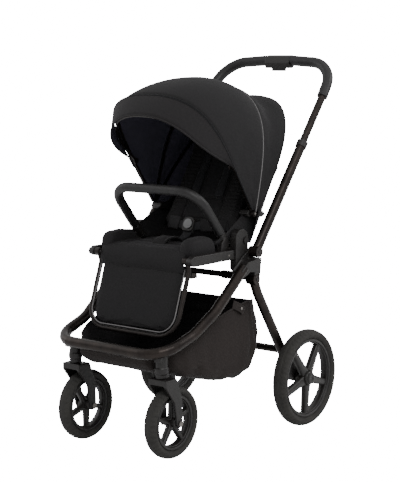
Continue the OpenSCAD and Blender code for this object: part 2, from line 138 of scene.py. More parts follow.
def grained_material(name, dark, light, roughness, metallic=0.0, grain_mm=0.8, bump=0.12, coat=0.0,
                     specular=0.5):
    """A hard or leathery surface: a fine grain breaks the highlight, and a slow drift wears the gloss."""
    mat, tree = new_material(name)
    coord = add(tree, "ShaderNodeTexCoord").outputs["Object"]
    colour, drift = varied(tree, coord, 40, dark, light, detail=3)
    gloss = add(tree, "ShaderNodeMapRange", {"Value": drift, "To Min": roughness * 0.88,
                                             "To Max": min(1, roughness * 1.14)})
    grain = add(tree, "ShaderNodeTexNoise", {"Vector": coord, "Scale": 1 / (grain_mm * MM), "Detail": 3})
    skin = add(tree, "ShaderNodeBump",
               {"Height": grain.outputs["Fac"], "Strength": bump, "Distance": 0.0004})
    shader = add(tree, "ShaderNodeBsdfPrincipled",
                 {"Base Color": colour, "Roughness": gloss.outputs["Result"], "Metallic": metallic,
                  "IOR": 1.5, "Specular IOR Level": specular, "Coat Weight": coat, "Coat Roughness": 0.25,
                  "Normal": skin.outputs["Normal"]})
    finish_shader(tree, shader)
    return mat


def leather_material(name, dark, light):
    """Leatherette: pebbles about 1.2 mm across with a soft satin highlight."""
    mat, tree = new_material(name)
    coord = add(tree, "ShaderNodeTexCoord").outputs["Object"]
    colour, _ = varied(tree, coord, 14, dark, light)
    pebble = add(tree, "ShaderNodeTexVoronoi", {"Vector": coord, "Scale": 1 / (1.2 * MM)},
                 feature="SMOOTH_F1")
    skin = add(tree, "ShaderNodeBump", {"Height": pebble.outputs["Distance"], "Strength": 0.35,
                                        "Distance": 0.0004}, invert=True)
    shader = add(tree, "ShaderNodeBsdfPrincipled",
                 {"Base Color": colour, "Roughness": 0.52, "IOR": 1.48, "Specular IOR Level": 0.3,
                  "Coat Weight": 0.06, "Coat Roughness": 0.35, "Normal": skin.outputs["Normal"]})
    finish_shader(tree, shader)
    return mat


# Dark bronze-black anodising: a metal sheen that goes warm where the light grazes it.
FRAME_METAL = grained_material("frame_metal", "#1b1716", "#2b2522", 0.34, metallic=0.8, grain_mm=0.5,
                               bump=0.06, specular=0.5)
# Moulded plastic: deep black with a broad, weak highlight.
PLASTIC = grained_material("black_plastic", "#100e0e", "#171514", 0.46, specular=0.3)
RIM_PLASTIC = grained_material("rim_plastic", "#100e0d", "#161413", 0.4, grain_mm=1.2, specular=0.32)
# Tyre rubber: matt and slightly dusty.
RUBBER = grained_material("tyre_rubber", "#201f1e", "#2b2a28", 0.8, grain_mm=0.9, bump=0.3, specular=0.22)
STEEL = grained_material("axle_steel", "#5c5956", "#7f7b77", 0.34, metallic=1.0, grain_mm=0.3, bump=0.08)
SEAT_TUBE = grained_material("seat_tube", "#171413", "#231e1c", 0.4, metallic=0.7, bump=0.05, specular=0.4)
LEATHER = leather_material("grip_leather", "#0d0c0d", "#151415")
SEAT_CLOTH = cloth_material("seat_fabric", "#0f0e0f", "#191819", crease=0.35)
CANOPY_CLOTH = cloth_material("canopy_fabric", "#0e0d0e", "#171617", sheen=0.03, crease=0.16)
VISOR_CLOTH = cloth_material("visor_fabric", "#161516", "#201e1f", sheen=0.05, crease=0.12)
# The lining: a smooth dark blue-grey knit, its colour lightened as painted light to stand in for the fill
# light under the canopy.
LINING_PAINTED_LIGHT = cloth_material("canopy_lining_painted_light", "#2a2933", "#37353f", thread_mm=1.4, sheen=0.03, crease=0.2)
# The basket: thin brownish cloth with sharp creases, near black inside.
BASKET_LINING = cloth_material("basket_lining", "#121012", "#1b191b", thread_mm=0.9, sheen=0.03, crease=0.5)
BASKET_CLOTH = cloth_material("basket_fabric", "#161211", "#231e1c", thread_mm=0.7, sheen=0.06, crease=0.8)
WEBBING = cloth_material("webbing", "#0b0b0d", "#131316", thread_mm=1.6, crease=0.1, specular=0.3)
BUCKLE_GREY = grained_material("buckle_grey", "#454546", "#525253", 0.32, coat=0.3)
THREAD = cloth_material("piping_thread", "#4c4b4b", "#6b6969", thread_mm=0.6, sheen=0.2, crease=0.05)
SEAM = cloth_material("seam_thread", "#0b0b0d", "#141416", thread_mm=0.6, crease=0.05)
SLOT_MATERIAL = {
    "frame_metal": FRAME_METAL, "black_plastic": PLASTIC, "rim_plastic": RIM_PLASTIC,
    "tyre_rubber": RUBBER, "axle_steel": STEEL, "seat_tube": SEAT_TUBE, "grip_leather": LEATHER,
    "seat_fabric": SEAT_CLOTH, "canopy_fabric": CANOPY_CLOTH, "visor_fabric": VISOR_CLOTH,
    "basket_fabric": BASKET_CLOTH, "webbing": WEBBING, "buckle_grey": BUCKLE_GREY,
}


# ---------------------------------------------------------------- geometry helpers

class Plane:
    """A plane across the stroller: u runs along angle (degrees from +Y towards +Z), n stands on it."""

    def __init__(self, y, z, angle):
        a = math.radians(angle)
        self.origin = Vector((0, y * MM, z * MM))
        self.u = Vector((0, math.cos(a), math.sin(a)))
        self.n = Vector((0, -math.sin(a), math.cos(a)))

    def at(self, x, u, n=0.0):
        """The point x across, u along and n proud, all in millimetres."""
        return self.origin + (Vector((x, 0, 0)) + u * self.u + n * self.n) * MM

    def local(self, p):
        d = (p - self.origin) / MM
        return p.x / MM, d.dot(self.u), d.dot(self.n)


def make(name, verts, faces, *materials):
    mesh = bpy.data.meshes.new(name)
    mesh.from_pydata([tuple(v) for v in verts], [], faces)
    mesh.validate()
    tidy = bmesh.new()
    tidy.from_mesh(mesh)
    bmesh.ops.recalc_face_normals(tidy, faces=tidy.faces)
    tidy.to_mesh(mesh)
    tidy.free()
    for mat in materials:
        mesh.materials.append(mat)
    obj = bpy.data.objects.new(name, mesh)
    bpy.context.scene.collection.objects.link(obj)
    mesh.shade_smooth()
    return obj


def tube_faces(count, size):
    """The faces between count rings of size points, with both ends closed."""
    faces = [(i * size + j, i * size + (j + 1) % size, (i + 1) * size + (j + 1) % size, (i + 1) * size + j)
             for i in range(count - 1) for j in range(size)]
    return faces + [tuple(range(size)), tuple(range((count - 1) * size, count * size))]


def swept(name, path, section, material):
    """A section of (a, b) millimetres carried along a path with a frame that never twists."""
    count, size = len(path), len(section)
    tangents = [(path[min(i + 1, count - 1)] - path[max(i - 1, 0)]).normalized() for i in range(count)]
    side = tangents[0].orthogonal().normalized()
    if abs(tangents[0].x) < 0.9:
        side = (Vector((1, 0, 0)) - tangents[0] * tangents[0].x).normalized()
    verts = []
    for p, t in zip(path, tangents):
        side = (side - t * side.dot(t)).normalized()
        up = t.cross(side)
        verts += [p + (a * side + b * up) * MM for a, b in section]
    return make(name, verts, tube_faces(count, size), material)


def round_section(r, sides=16):
    return [(r * math.cos(2 * math.pi * i / sides), r * math.sin(2 * math.pi * i / sides))
            for i in range(sides)]


def strap_section(width, thick, sides=5):
    """A flat strap with rounded edges."""
    h, e = width / 2 - thick / 2, thick / 2
    right = [(h + e * math.cos(a), e * math.sin(a)) for a in
             [math.radians(-90 + 180 * i / sides) for i in range(sides + 1)]]
    return right + [(-x, -y) for x, y in right]


def strap(name, path, wide, width, thick, material):
    """A flat strap along a path; wide is the direction of its breadth."""
    section = strap_section(width, thick)
    size = len(section)
    verts = []
    for i, p in enumerate(path):
        t = (path[min(i + 1, len(path) - 1)] - path[max(i - 1, 0)]).normalized()
        side = (wide - t * wide.dot(t)).normalized()
        up = t.cross(side)
        verts += [p + (a * side + b * up) * MM for a, b in section]
    return make(name, verts, tube_faces(len(path), size), material)


def eased(points, per=10):
    """A smooth curve through points."""
    p = [points[0]] + list(points) + [points[-1]]
    out = []
    for a, b, c, d in zip(p, p[1:], p[2:], p[3:]):
        for k in range(per):
            t = k / per
            out.append(0.5 * (2 * b + (c - a) * t + (2 * a - 5 * b + 4 * c - d) * t * t
                              + (3 * b - a - 3 * c + d) * t ** 3))
    return out + [points[-1]]


def bead_tree(along):
    """Geometry nodes that set small rounded beads along a line, or one on each point."""
    tree = bpy.data.node_groups.new("beads_along" if along else "beads_on", "GeometryNodeTree")
    face = tree.interface
    face.new_socket("Geometry", in_out="INPUT", socket_type="NodeSocketGeometry")
    face.new_socket("Spacing", in_out="INPUT", socket_type="NodeSocketFloat")
    face.new_socket("Size", in_out="INPUT", socket_type="NodeSocketVector")
    face.new_socket("Material", in_out="INPUT", socket_type="NodeSocketMaterial")
    face.new_socket("Geometry", in_out="OUTPUT", socket_type="NodeSocketGeometry")
    given = tree.nodes.new("NodeGroupInput")
    done = tree.nodes.new("NodeGroupOutput")
    bead = add(tree, "GeometryNodeMeshUVSphere", {"Segments": 12, "Rings": 8, "Radius": 0.5})
    sized = add(tree, "GeometryNodeTransform",
                {"Geometry": bead.outputs["Mesh"], "Scale": given.outputs["Size"]})
    inst = add(tree, "GeometryNodeInstanceOnPoints", {"Instance": sized.outputs["Geometry"]})
    if along:
        line = add(tree, "GeometryNodeMeshToCurve", {"Mesh": given.outputs["Geometry"]})
        spots = add(tree, "GeometryNodeCurveToPoints",
                    {"Curve": line.outputs["Curve"], "Length": given.outputs["Spacing"]}, mode="LENGTH")
        tree.links.new(spots.outputs["Points"], inst.inputs["Points"])
        tree.links.new(spots.outputs["Rotation"], inst.inputs["Rotation"])
    else:
        spots = add(tree, "GeometryNodeMeshToPoints", {"Mesh": given.outputs["Geometry"]})
        tree.links.new(spots.outputs["Points"], inst.inputs["Points"])
    real = add(tree, "GeometryNodeRealizeInstances", {"Geometry": inst.outputs["Instances"]})
    final = add(tree, "GeometryNodeSetMaterial",
                {"Geometry": real.outputs["Geometry"], "Material": given.outputs["Material"]})
    tree.links.new(final.outputs["Geometry"], done.inputs["Geometry"])
    return tree


BEADS = {True: bead_tree(True), False: bead_tree(False)}


def beads(name, points, size_mm, material, spacing_mm=0.0):
    """Stitches every spacing_mm along a line, or one bead on each point where there is no spacing."""
    along = spacing_mm > 0
    mesh = bpy.data.meshes.new(name)
    edges = [(i, i + 1) for i in range(len(points) - 1)] if along else []
    mesh.from_pydata([tuple(p) for p in points], edges, [])
    obj = bpy.data.objects.new(name, mesh)
    bpy.context.scene.collection.objects.link(obj)
    nodes = obj.modifiers.new("beads", "NODES")
    nodes.node_group = BEADS[along]
    sockets = {i.name: i.identifier for i in nodes.node_group.interface.items_tree if i.in_out == "INPUT"}
    nodes[sockets["Spacing"]] = spacing_mm * MM
    nodes[sockets["Size"]] = [k * MM for k in size_mm]
    nodes[sockets["Material"]] = material
    bake(obj)
    obj.data.shade_smooth()
    return obj


def shell(name, rows, thickness, outside, inside):
    """A closed cloth of a grid of points, thickness millimetres deep on its inner side."""
    m, n = len(rows), len(rows[0])
    verts = [p for row in rows for p in row]
    faces = [(i * n + j, i * n + j + 1, (i + 1) * n + j + 1, (i + 1) * n + j)
             for i in range(m - 1) for j in range(n - 1)]
    flat = bpy.data.meshes.new("flat")
    flat.from_pydata([tuple(v) for v in verts], [], faces)
    flat.update()
    normals = [v.normal.copy() for v in flat.vertices]
    centre = sum(verts, Vector()) / len(verts)
    facing = sum((v - centre).dot(k) for v, k in zip(verts, normals))
    turn = 1 if facing > 0 else -1
    inner = [v - k * turn * thickness * MM for v, k in zip(verts, normals)]
    o = m * n
    ring = [j for j in range(n)] + [i * n + n - 1 for i in range(1, m)]
    ring += [(m - 1) * n + j for j in range(n - 2, -1, -1)] + [i * n for i in range(m - 2, 0, -1)]
    rim = [(a, b, b + o, a + o) for a, b in zip(ring, ring[1:] + ring[:1])]
    low = [tuple(k + o for k in reversed(f)) for f in faces]
    bpy.data.meshes.remove(flat)
    obj = make(name, verts + inner, faces + low + rim, outside, inside)
    for k in range(len(faces), len(faces) + len(low)):
        obj.data.polygons[k].material_index = 1
    return obj


def node_copy(name, node):
    obj = bpy.data.objects.new(name, frame["nodes"][node].data.copy())
    obj.data.materials.clear()
    bpy.context.scene.collection.objects.link(obj)
    return obj


def bake(obj):
    """The object's modifiers become its mesh."""
    graph = bpy.context.evaluated_depsgraph_get()
    done = bpy.data.meshes.new_from_object(obj.evaluated_get(graph))
    old = obj.data
    obj.modifiers.clear()
    obj.data = done
    bpy.data.meshes.remove(old)
    return obj


def moulded(node, voxel_mm, rounds, material):
    """A CAD piece with the soft edges of a real moulding or drawn tube."""
    obj = node_copy(node + "_moulded", node)
    remesh = obj.modifiers.new("remesh", "REMESH")
    remesh.mode = "VOXEL"
    remesh.voxel_size = voxel_mm * MM
    soften = obj.modifiers.new("soften", "SMOOTH")
    soften.iterations = rounds
    soften.factor = 0.5
    bake(obj)
    obj.data.materials.append(material)
    obj.data.shade_smooth()
    return obj


def place(obj, node=None, body=None, replaces=()):
    """Ties a piece to its body and the CAD nodes that it stands for."""
    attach(obj, body or BODY_OF[node])
    if replaces:
        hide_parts(*replaces)
    return obj


def joined(name, objs):
    """Several closed meshes as one piece."""
    whole = bmesh.new()
    mats = []
    for o in objs:
        start = len(whole.faces)
        whole.from_mesh(o.data)
        whole.faces.ensure_lookup_table()
        for k in range(start, len(whole.faces)):
            mat = o.data.materials[whole.faces[k].material_index]
            if mat not in mats:
                mats.append(mat)
            whole.faces[k].material_index = mats.index(mat)
    mesh = bpy.data.meshes.new(name)
    whole.to_mesh(mesh)
    whole.free()
    for mat in mats:
        mesh.materials.append(mat)
    for o in objs:
        bpy.data.objects.remove(o)
    out = bpy.data.objects.new(name, mesh)
    bpy.context.scene.collection.objects.link(out)
    mesh.shade_smooth()
    return out


def turned(name, profile, centre, material, steps=96, tread=None):
    """A profile of (x, r) millimetres turned about the X axis at centre."""
    size = len(profile)
    verts = []
    for i in range(steps):
        a = 2 * math.pi * i / steps
        for j, (x, r) in enumerate(profile):
            if tread:
                r -= tread(i, j)
            verts.append(centre + Vector((x, r * math.cos(a), r * math.sin(a))) * MM)
    faces = [(i * size + j, i * size + (j + 1) % size, (i + 1) % steps * size + (j + 1) % size,
              (i + 1) % steps * size + j) for i in range(steps) for j in range(size)]
    return make(name, verts, faces, material)


# ---------------------------------------------------------------- frame

for node, voxel, rounds in (
        ("front_tube", 1.8, 6), ("rear_leg_left", 1.6, 6), ("rear_leg_right", 1.6, 6),
        ("junction_left", 1.5, 8), ("junction_right", 1.5, 8), ("caster_post_left", 1.5, 5),
        ("caster_post_right", 1.5, 5), ("fork_left", 1.5, 8), ("fork_right", 1.5, 8),
        ("hub_housing_left", 1.5, 8), ("hub_housing_right", 1.5, 8), ("brake_pedal", 1.5, 5),
        ("grip", 1.6, 5), ("grip_housing", 1.3, 6), ("fold_trigger", 0.8, 4), ("bumper_bar", 1.6, 5),
        ("bumper_sockets", 1.5, 4), ("back_frame", 1.8, 4), ("legrest_frame", 1.5, 4),
        ("seat_hub_left", 1.5, 7), ("seat_hub_right", 1.5, 7), ("canopy_mounts", 1.4, 4),
        ("seat_frame", 2.0, 4), ("buckle", 0.9, 5)):
    piece = moulded(node, voxel, rounds, SLOT_MATERIAL[SLOT_OF[node]])
    place(piece, node, replaces=(node,))

for node, obj in frame["nodes"].items():
    obj.data.materials.clear()
    obj.data.materials.append(SLOT_MATERIAL[SLOT_OF[node]])
    obj.data.shade_smooth()
    edges = obj.modifiers.new("edges", "EDGE_SPLIT")
    edges.split_angle = math.radians(35)


# ---------------------------------------------------------------- wheels

def tyre(node, centre, r, w, inner, blocks):
    """A rounded tyre whose shoulders and crown are cut into blocks."""
    h = w / 2
    arc = [(h * math.sin(t) * 0.98, r - (1 - math.cos(t)) * 0.62 * h) for t in
           [math.radians(-100 + 200 * k / 22) for k in range(23)]]
    profile = [(-h * 0.62, inner)] + arc + [(h * 0.62, inner)]
    per = 8

    def tread(i, j):
        k = j - 1
        if 3 <= k <= 8 or 14 <= k <= 19:
            shift = 0 if k <= 8 else per // 2
            return 1.6 if (i + shift + (k % 3)) % per < 2 else 0
        return 1.4 if k in (9, 13) else 0

    obj = turned(node + "_treaded", profile, centre, RUBBER, steps=blocks * per, tread=tread)
    place(obj, node, replaces=(node,))


def spoke(name, centre, angle, r0, r1, w0, w1, depth, dish):
    """One spoke: a rounded bar that narrows outwards and leans in towards the rim."""
    radial = Vector((0, math.cos(angle), math.sin(angle)))
    cross = Vector((0, -math.sin(angle), math.cos(angle)))
    rows, sides = 12, 16
    verts = []
    for i in range(rows + 1):
        f = i / rows
        half = (w0 * (1 - f) + w1 * f) / 2 + 3.2 * abs(2 * f - 1) ** 6
        lean = dish * (1 - f) ** 1.4
        for j in range(sides):
            t = 2 * math.pi * j / sides
            c, s = math.cos(t), math.sin(t)
            a = math.copysign(abs(c) ** 0.6, c) * half
            b = math.copysign(abs(s) ** 0.6, s) * depth / 2
            reach = radial * (r0 + (r1 - r0) * f)
            verts.append(centre + (reach + cross * a + Vector((b + lean, 0, 0))) * MM)
    return make(name, verts, tube_faces(rows + 1, sides), RIM_PLASTIC)


def lip(x0, x1, r0, r1, soft=1.6):
    """A rectangle in (x, r) with chamfered corners."""
    return [(x0 + soft, r0), (x1 - soft, r0), (x1, r0 + soft), (x1, r1 - soft), (x1 - soft, r1),
            (x0 + soft, r1), (x0, r1 - soft), (x0, r0 + soft)]


def rim(node, centre, outer, w, hub_r, hub_w, spoke_w, phase, dish):
    parts = [turned("ring", lip(-w / 2, w / 2, outer - 9, outer - 0.3), centre, RIM_PLASTIC),
             turned("step", lip(-w / 2 + 4, w / 2 - 4, outer - 12.5, outer - 8), centre, RIM_PLASTIC),
             turned("hub", lip(-hub_w / 2, hub_w / 2, hub_r * 0.3, hub_r, 3), centre, RIM_PLASTIC, 64)]
    for k in range(5):
        parts.append(spoke("spoke", centre, math.radians(phase + 72 * k), hub_r - 4, outer - 6,
                           spoke_w * 1.25, spoke_w * 0.86, w * 0.62, dish))
    place(joined(node + "_spoked", parts), node, replaces=(node,))


for side, s in SIDES:
    low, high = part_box(f"front_tyre_{side}")
    centre = Vector(JOINT[f"front_spin_{side}"]["pos_m"])
    r, w = (high[2] - low[2]) / 2 / MM, (high[0] - low[0]) / MM
    tyre(f"front_tyre_{side}", centre, r, w, r - 24, 42)
    rim(f"front_rim_{side}", centre, r - 24, 30, 14, w + 2, 15, 90 if side == "left" else -90, 0)
    low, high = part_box(f"rear_tyre_{side}")
    centre = Vector(((low[0] + high[0]) / 2, *JOINT[f"rear_spin_{side}"]["pos_m"][1:]))
    r, w = (high[2] - low[2]) / 2 / MM, (high[0] - low[0]) / MM
    tyre(f"rear_tyre_{side}", centre, r, w, r - 27, 58)
    rim(f"rear_rim_{side}", centre, r - 27, 32, 21, w - 2, 23, -90, 5 * s)
    cap = [(-2, 1), (-2, 17), (1.4, 16.6), (2.6, 14.5), (3.2, 9), (2.4, 7.6), (2.4, 1)]
    cap_centre = centre + Vector((s * w / 2 * MM, 0, 0))
    piece = turned(f"hub_cap_{side}_turned", [(s * x, q) for x, q in cap], cap_centre, PLASTIC, 48)
    place(piece, f"hub_cap_{side}", replaces=(f"hub_cap_{side}",))


# ---------------------------------------------------------------- cushions

def inflated(node, name, voxel_mm, cap_mm, material, shrink_mm=3.0):
    """A cushion blown up from its CAD block by cloth pressure, never more than cap_mm proud."""
    obj = node_copy(name, node)
    remesh = obj.modifiers.new("remesh", "REMESH")
    remesh.mode = "VOXEL"
    remesh.voxel_size = voxel_mm * MM
    soften = obj.modifiers.new("soften", "SMOOTH")
    soften.iterations = 6
    bake(obj)
    obj.data.update()
    for v, k in zip(obj.data.vertices, [v.normal.copy() for v in obj.data.vertices]):
        v.co -= k * shrink_mm * MM
    rest = [v.co.copy() for v in obj.data.vertices]
    cloth = obj.modifiers.new("cloth", "CLOTH")
    cloth.settings.quality = 5
    cloth.settings.mass = 0.3
    cloth.settings.use_pressure = True
    cloth.settings.uniform_pressure_force = 4
    cloth.settings.effector_weights.gravity = 0
    cloth.collision_settings.use_collision = False
    cloth.point_cache.frame_start = 1
    cloth.point_cache.frame_end = 20
    for f in range(1, 21):
        bpy.context.scene.frame_set(f)
    bake(obj)
    bpy.context.scene.frame_set(1)
    for v, start in zip(obj.data.vertices, rest):
        move = v.co - start
        if move.length > cap_mm * MM:
            v.co = start + move.normalized() * cap_mm * MM
    level = obj.modifiers.new("level", "SUBSURF")
    level.levels = level.render_levels = 1
    bake(obj)
    obj.data.materials.append(material)
    obj.data.shade_smooth()
    return obj


def press(obj, plane, depth_at, front_n):
    """Presses seams into the cushion's front: depth_at gives millimetres at (x, u)."""
    for v in obj.data.vertices:
        x, u, n = plane.local(v.co)
        if n > front_n:
            v.co -= plane.n * depth_at(x, u) * MM
    obj.data.update()


def groove(distance, width, depth):
    return depth * math.exp(-(distance / width) ** 2)


BACK = Plane(61, 603, 58)
BACK_LEN = 350
SEAT = Plane(0, 534, 0)
LEGREST = Plane(-195, 542, 71)


def back_seams(x, u):
    """Ribbed side bands, a plain middle crossed by seams, and a seam down each side of it."""
    x = abs(x)
    rib_pitch = 12
    in_band = 70 < x < 118 and 8 < u < BACK_LEN - 20
    ribs = 1.5 * (0.5 + 0.5 * math.cos(2 * math.pi * u / rib_pitch)) if in_band else 0
    across = min(abs(u - k) for k in (22, 92, 250, 318))
    crossing = groove(across, 4, 4) if x < 66 else 0
    return ribs + groove(x - 66, 3.5, 5) + groove(x - 121, 3.5, 4) + crossing


def seat_seams(x, u):
    across = min(abs(u - k) for k in (-150, -96, -42, 10))
    return (groove(across, 4, 3) if abs(x) < 100 else 0) + groove(abs(x) - 104, 4, 4)


def legrest_seams(x, u):
    return groove(u + 26, 3, 3.5)


back = inflated("back_pad", "backrest_cushion", 5, 9, SEAT_CLOTH)
press(back, BACK, back_seams, -20)
place(back, "back_pad", replaces=("back_pad",))
seat = inflated("seat_pad", "seat_cushion", 5, 8, SEAT_CLOTH)
press(seat, SEAT, seat_seams, 18)
place(seat, "seat_pad", replaces=("seat_pad",))
leg = inflated("legrest_pad", "legrest_cushion", 4.5, 5, SEAT_CLOTH, shrink_mm=2.0)
press(leg, LEGREST, legrest_seams, -22)
for v in leg.data.vertices:
    v.co.x *= 1.04
place(leg, "legrest_pad", replaces=("legrest_pad",))
pads = inflated("shoulder_harness", "shoulder_pads", 2.2, 3, WEBBING, shrink_mm=0.4)
place(pads, "shoulder_harness", replaces=("shoulder_harness",))


def outline(w, low, high, r, steps=10):
    """The U round a panel's foot: x and u in millimetres, from one top corner to the other."""
    corner = [(w - r + r * math.cos(t), low + r - r * math.sin(t)) for t in
              [math.radians(90 * k / steps) for k in range(steps + 1)]]
    half = [(w, high)] + corner
    return half + [(-x, u) for x, u in reversed(half)]


def ring_loft(name, sections, material):
    """A closed body through rings: each ring is the list of points of one cross-section."""
    verts = [p for ring in sections for p in ring]
    return make(name, verts, tube_faces(len(sections), len(sections[0])), material)


def bolster(name, s):
    """A stuffed side of the seat: an upright block, rounded towards both faces."""
    outline_yz = eased([Vector((0, y, z)) * MM for y, z in
                        ((-62, 546), (-64, 572), (-74, 590), (-96, 598), (-130, 600), (-164, 596),
                         (-180, 582), (-184, 562), (-182, 546))], 6)
    middle = Vector((0, -124, 566)) * MM
    rings = []
    for i in range(15):
        t = -1 + 2 * i / 14
        inset = 13 * (1 - math.sqrt(1 - abs(t) ** 2.6))
        ring = []
        for p in outline_yz:
            pucker = 1.6 * noise.noise(Vector((p.y * 45, p.z * 45, t + s * 3)))
            away = (p - middle).normalized()
            ring.append(p + Vector((s * (146 + 21 * t), 0, 0)) * MM + away * (pucker - inset) * MM)
        rings.append(ring)
    obj = ring_loft(name, rings, SEAT_CLOTH)
    place(obj, body="seat")


for side, s in SIDES:
    bolster(f"seat_bolster_{side}", s)

# The knee: the seat's cloth rolls over its front edge and down to the legrest.
knee_line = eased([Vector((0, y, z)) * MM for y, z in
                   ((-128, 560), (-154, 563), (-174, 560), (-187, 551), (-193, 537), (-193, 520),
                    (-189, 506))], 6)
knee_rings = []
for i in range(49):
    x = -152 + 304 * i / 48
    end = 1 - max(0, abs(x) - 135) / 17 * 0.45
    ring = []
    for sign, line in ((1, knee_line), (-1, list(reversed(knee_line)))):
        for p in line:
            wave = 1.2 * noise.noise(Vector((x / 30, p.y * 40, p.z * 40)))
            away = (p - Vector((0, -150, 505)) * MM).normalized()
            ring.append(p + Vector((x, 0, 0)) * MM + away * ((6 * sign * end) + wave * (sign > 0)) * MM)
    knee_rings.append(ring)
knee = ring_loft("seat_knee", knee_rings, SEAT_CLOTH)
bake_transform(knee)


# Light piping round the legrest, a line of stitches inside it and under its top seam.
leg_low = -203
piping = [LEGREST.at(x, u, -15) for x, u in outline(153, leg_low, -20, 50)]
place(swept("legrest_piping", piping, round_section(1.7, 10), THREAD), body="legrest")
hem = [LEGREST.at(x, -31, -11.2) for x in range(-134, 135, 4)]
place(beads("legrest_stitches", hem, (0.9, 0.9, 3.6), THREAD, 5.5), body="legrest")

# The waist belt: webbing from the buckle out to the seat corners, a pad on each half, and the
# strap that comes up from between the legs through its loop.
UP = Vector((0, math.cos(math.radians(72)), math.sin(math.radians(72))))
for side, s in SIDES:
    belt = eased([Vector((s * x, y, z)) * MM for x, y, z in
                  ((15, 21, 605), (34, 26, 609), (66, 40, 611), (98, 58, 608), (120, 72, 604))])
    place(strap(f"waist_belt_{side}", belt, UP, 24, 2.2, WEBBING), "lap_straps",
          replaces=("lap_straps",) if s > 0 else ())
    cover = strap(f"waist_pad_{side}", belt[12:34], UP, 38, 7, SEAT_CLOTH)
    place(cover, body="seat")
crotch = eased([Vector((0, y, z)) * MM for y, z in
                ((-34, 570), (-14, 573), (4, 578), (17, 590), (21, 598))])
place(strap("crotch_strap", crotch, Vector((1, 0, 0)), 30, 2.6, WEBBING), body="seat")
loop = eased([Vector((0, y, z)) * MM for y, z in
              ((-120, 566), (-108, 577), (-84, 583), (-58, 581), (-40, 572), (-34, 566))])
cover = strap("crotch_pad", loop, Vector((1, 0, 0)), 46, 6, SEAT_CLOTH)
place(cover, body="seat")
for side, s in SIDES:
    edge = [p + Vector((s * 19, 0, 3.1)) * MM for p in loop]
    place(beads(f"crotch_stitches_{side}", edge, (0.9, 0.9, 3.4), THREAD, 5), body="seat")


# ---------------------------------------------------------------- canopy

PIVOT = JOINT["canopy_fold"]["pos_m"]
VISOR_PIVOT = JOINT["visor_fold"]["pos_m"]
HOOP_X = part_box("canopy_mounts")[1][0] / MM - 2.4
HOOP_S = 415
VISOR_S = 172
# Each bow: the angle of its plane, half-width at the foot, height, exponent, flare at the shoulders.
REAR = (50, HOOP_X, HOOP_S + 6, 2.3, 10)
MID = (75, HOOP_X - 4, HOOP_S - 44, 1.9, 90)
FRONT = (124.4, HOOP_X - 8, HOOP_S, 2.36, 104)
RIM = (142, HOOP_X - 14, HOOP_S - VISOR_S - 7, 2.1, 24)


def on_canopy(pivot, angle, x, s):
    a = math.radians(angle)
    return Vector((x * MM, pivot[1] + s * MM * math.cos(a), pivot[2] + s * MM * math.sin(a)))


def arch_row(pivot, bow, off=6.6, turn=0.0, start=1.2, cols=84, rough=0.0, seed=0.0):
    """Points of a bow from one foot to the other, off millimetres outside its tube."""
    angle, w, h, e, flare = bow
    row = []
    for j in range(cols + 1):
        t = math.radians(start + (180 - 2 * start) * j / cols)
        c, sn = math.cos(t), math.sin(t)
        x = (w + off + flare * sn * sn) * math.copysign(abs(c) ** (2 / e), c)
        s = (h + off) * sn ** (2 / e)
        grow = 1 + rough * noise.noise(Vector((x / 55, seed, s / 40))) / max(s, 60)
        row.append(on_canopy(pivot, angle + turn, x * grow, s * grow))
    return row


def cloth_rows(pivot, a, b, sag, rows=20, rough=1.6):
    """Cloth pulled tight from bow a to bow b; between them it dips by sag."""
    out = []
    for i in range(rows + 1):
        f = i / rows
        bow = [p * (1 - f) + q * f for p, q in zip(a, b)]
        bow[2] -= sag * math.sin(math.pi * f) ** 2
        out.append(arch_row(pivot, bow, rough=rough * math.sin(math.pi * f), seed=f * 4))
    return out


def loft(a, b, rows=10, belly=0.0):
    """Rows of points from row a to row b, lifted by belly in the middle."""
    out = []
    for i in range(rows + 1):
        f = i / rows
        lift = belly * math.sin(math.pi * f) * MM
        out.append([p * (1 - f) + q * f + Vector((0, -0.5, 0.85)) * lift for p, q in zip(a, b)])
    return out


def size_of(rows):
    """The flat width and length of a grid of points, in metres."""
    middle = rows[len(rows) // 2]
    width = sum((q - p).length for p, q in zip(middle, middle[1:]))
    column = [row[len(row) // 2] for row in rows]
    return width, sum((q - p).length for p, q in zip(column, column[1:]))


def area_of(rows):
    total = 0.0
    for a, b in zip(rows, rows[1:]):
        for p, q, r, t in zip(a, a[1:], b[1:], b):
            total += ((q - p).cross(r - p).length + (r - p).cross(t - p).length) / 2
    return total


# How far each panel dips between its bows, and how far the visor's lip hangs below its rim.
REAR_SAG = 32
CROWN_SAG = 2
LIP_DROOP = 22


def canopy_sheet(name, rows, node, outside):
    # The inner side takes the lining, whose colour is lightened as painted light for the shade under the
    # canopy.
    obj = shell(name, rows, 1.6, outside, LINING_PAINTED_LIGHT)
    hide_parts(node)
    return obj


rear_rows = cloth_rows(PIVOT, (REAR[0] - 1, REAR[1] + 1, REAR[2] + 5) + REAR[3:], MID, REAR_SAG)
crown_rows = cloth_rows(PIVOT, MID, (FRONT[0] + 1,) + FRONT[1:], CROWN_SAG)
visor_lip = []
for p in arch_row(VISOR_PIVOT, RIM, turn=1, start=2):
    up = (p - on_canopy(VISOR_PIVOT, 0, p.x / MM, 0)).length / (HOOP_S - VISOR_S) / MM
    droop = LIP_DROOP * math.sin(math.pi * min(1, up)) ** 1.2 * MM
    a = math.radians(RIM[0] + 80)
    visor_lip.append(p + Vector((0, math.cos(a), math.sin(a))) * droop)
visor_rows = loft(arch_row(PIVOT, FRONT, off=10, turn=1.8, start=17), visor_lip, belly=3)

rear_cloth = canopy_sheet("canopy_rear_cloth", rear_rows, "canopy_rear",
                          CANOPY_CLOTH)
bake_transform(rear_cloth)
crown_cloth = canopy_sheet("canopy_crown_cloth", crown_rows, "canopy_crown",
                           CANOPY_CLOTH)
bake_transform(crown_cloth)
visor_cloth = canopy_sheet("visor_cloth", visor_rows, "visor", VISOR_CLOTH)
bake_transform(visor_cloth)


